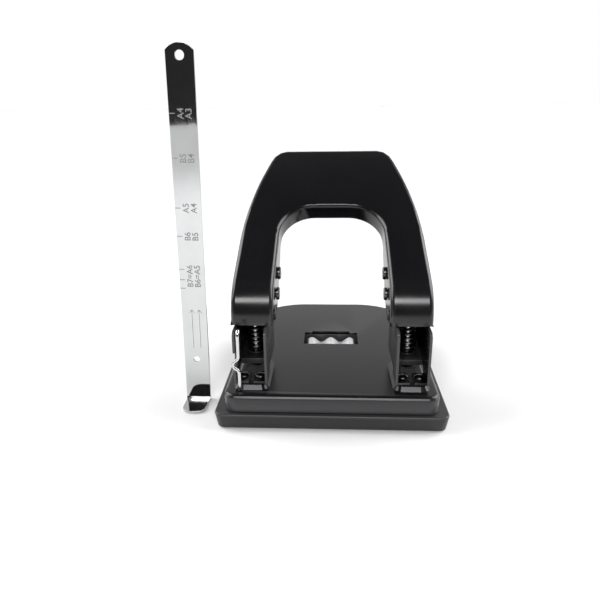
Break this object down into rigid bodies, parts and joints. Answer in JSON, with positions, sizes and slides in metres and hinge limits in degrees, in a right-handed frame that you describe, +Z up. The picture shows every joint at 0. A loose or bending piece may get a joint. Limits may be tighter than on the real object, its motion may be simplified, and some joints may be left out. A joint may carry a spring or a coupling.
{
  "type": "hole punch",
  "caption": "Two-hole desk punch with a one-piece pressed lever handle over twin sprung punches, a chip tray, a lock wire and a loose upright paper guide",
  "frame": {"origin": "centre of the base plate's footprint, on the underside of the chip tray", "axes": "+Z up, +Y from the hinge side towards the free end of the handle, +X to the right seen from the hinge side"},
  "size_m": [0.1368, 0.1378, 0.1781],
  "materials": {
    "black_paint": "high-gloss black enamel on pressed steel",
    "steel": "bright zinc-plated steel",
    "chrome": "polished plate",
    "black_plastic": "soft satin black plastic"
  },
  "bodies": {
    "base": {"base_plate": "black_paint", "guide_channel": "steel", "guide_catch_spring": "chrome", "bracket_left": "black_paint", "jaw_plate_left": "steel", "spring_seat_left": "steel", "die_left": "steel", "return_spring_left": "steel", "foot_rivet_left_inner": "steel", "foot_rivet_left_outer": "steel", "bracket_right": "black_paint", "jaw_plate_right": "steel", "spring_seat_right": "steel", "die_right": "steel", "return_spring_right": "steel", "foot_rivet_right_inner": "steel", "foot_rivet_right_outer": "steel"},
    "handle": {"handle": "black_paint", "pivot_pin_left": "steel", "pivot_pin_right": "steel", "drive_pin_left": "steel", "drive_pin_right": "steel", "brace_pin_left": "steel", "brace_pin_right": "steel"},
    "tray": {"chip_tray": "black_plastic"},
    "lock": {"lock_wire": "chrome"},
    "guide": {"paper_guide": "chrome"},
    "punch_left": {"punch_pin_left": "chrome", "spring_cap_left": "steel"},
    "punch_right": {"punch_pin_right": "chrome", "spring_cap_right": "steel"}
  },
  "joints": [
    {"name": "handle_press", "type": "hinge", "parent": "base", "child": "handle", "pos_m": [0, -0.0438, 0.052], "axis": [-1, 0, 0], "range_deg": [0, 32], "stiffness_Nm_per_rad": 0.5, "springref_deg": -34.38},
    {"name": "punch_left_slide", "type": "slide", "parent": "base", "child": "punch_left", "axis": [0, 0, -1], "range_m": [0, 0.0068], "deforming": ["return_spring_left"]},
    {"name": "punch_right_slide", "type": "slide", "parent": "base", "child": "punch_right", "axis": [0, 0, -1], "range_m": [0, 0.0068], "deforming": ["return_spring_right"]},
    {"name": "tray_pull", "type": "slide", "parent": "base", "child": "tray", "axis": [0, 0, -1], "range_m": [0, 0.03]},
    {"name": "lock_swing", "type": "hinge", "parent": "base", "child": "lock", "pos_m": [-0.045, -0.0617, 0.0158], "axis": [-1, 0, 0], "range_deg": [0, 8]},
    {"name": "guide_lift", "type": "slide", "parent": "base", "child": "guide", "axis": [0, 0, 1], "range_m": [0, 0.12]}
  ],
  "couplings": [
    {"joint": "punch_left_slide", "follows": "handle_press", "m_per_rad": 0.01155},
    {"joint": "punch_right_slide", "follows": "handle_press", "m_per_rad": 0.01155}
  ]
}
